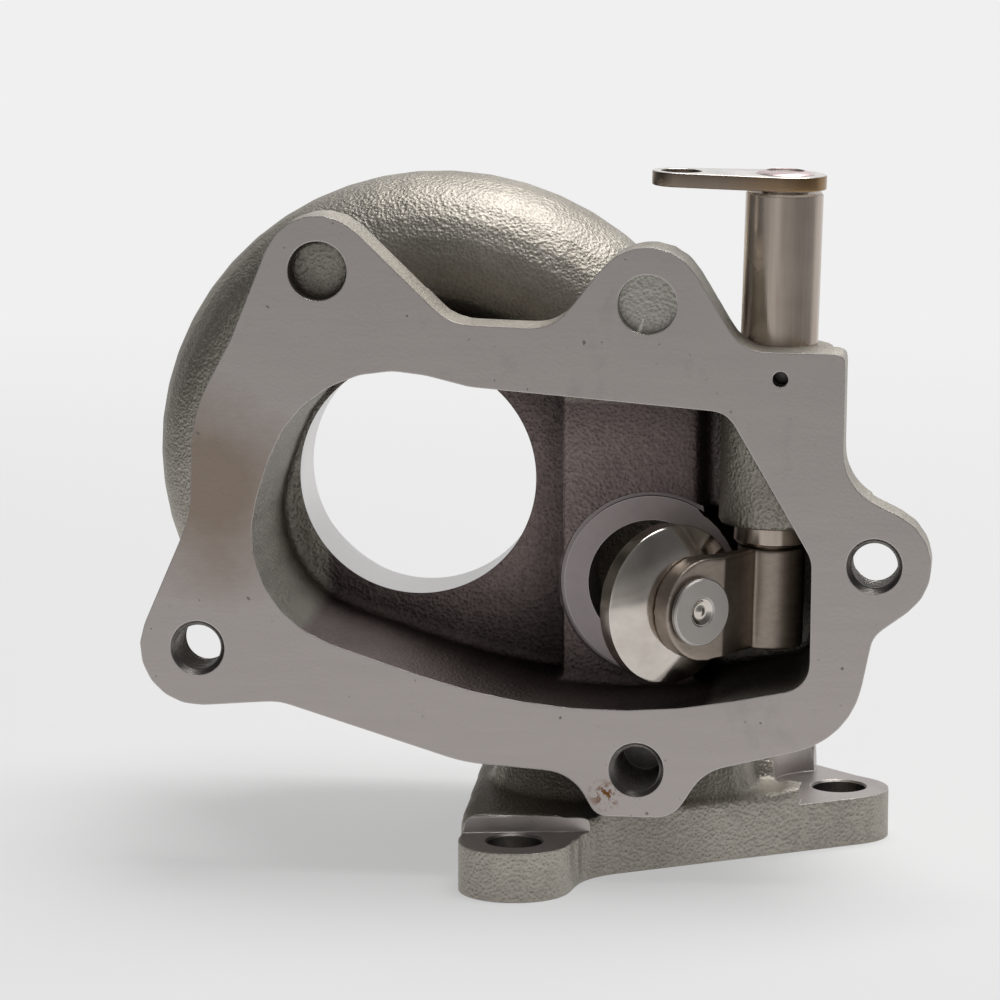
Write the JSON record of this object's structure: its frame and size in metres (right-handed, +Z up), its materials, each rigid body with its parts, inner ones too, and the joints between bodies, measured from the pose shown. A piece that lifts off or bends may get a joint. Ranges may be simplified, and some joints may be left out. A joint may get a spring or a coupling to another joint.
{
  "type": "turbine housing",
  "caption": "Cast turbocharger turbine housing with a spiral scroll, a wide outlet flange, a three-bolt inlet flange and an internal wastegate flap on a crank lever.",
  "frame": {"origin": "on the turbine axis, in the plane of the outlet chamber's floor, where the exducer bore opens", "axes": "+Y along the turbine axis from the outlet flange to the bearing side, +Z up from the inlet flange, +X to the wastegate side"},
  "size_m": [0.1598, 0.105, 0.138],
  "materials": {
    "casting": "fine sand-cast skin with milled faces",
    "bushing": "turned, slightly browned",
    "pin": "ground",
    "shaft": "turned",
    "arm": "precision cast",
    "valve": "turned bright",
    "washer": "pressed and riveted",
    "lever": "stamped",
    "weld": "heat tinted weld"
  },
  "bodies": {
    "housing": {"housing_casting": "casting", "shaft_bushing": "bushing", "bushing_pin": "pin", "clocking_pin": "pin"},
    "wastegate": {"wastegate_shaft": "shaft", "swing_arm": "arm", "crank_lever": "lever", "lever_weld": "weld"},
    "valve": {"valve_disc": "valve", "valve_washer": "washer"}
  },
  "joints": [
    {"name": "wastegate_swing", "type": "hinge", "parent": "housing", "child": "wastegate", "pos_m": [0.0722, -0.0165, 0], "axis": [0.0262, 0, 0.9997], "range_deg": [-43, 12]},
    {"name": "valve_spin", "type": "hinge", "parent": "wastegate", "child": "valve", "pos_m": [0.05459, -0.03246, -0.01867], "axis": [0.6818, -0.7314, -0.0179], "continuous": true}
  ]
}
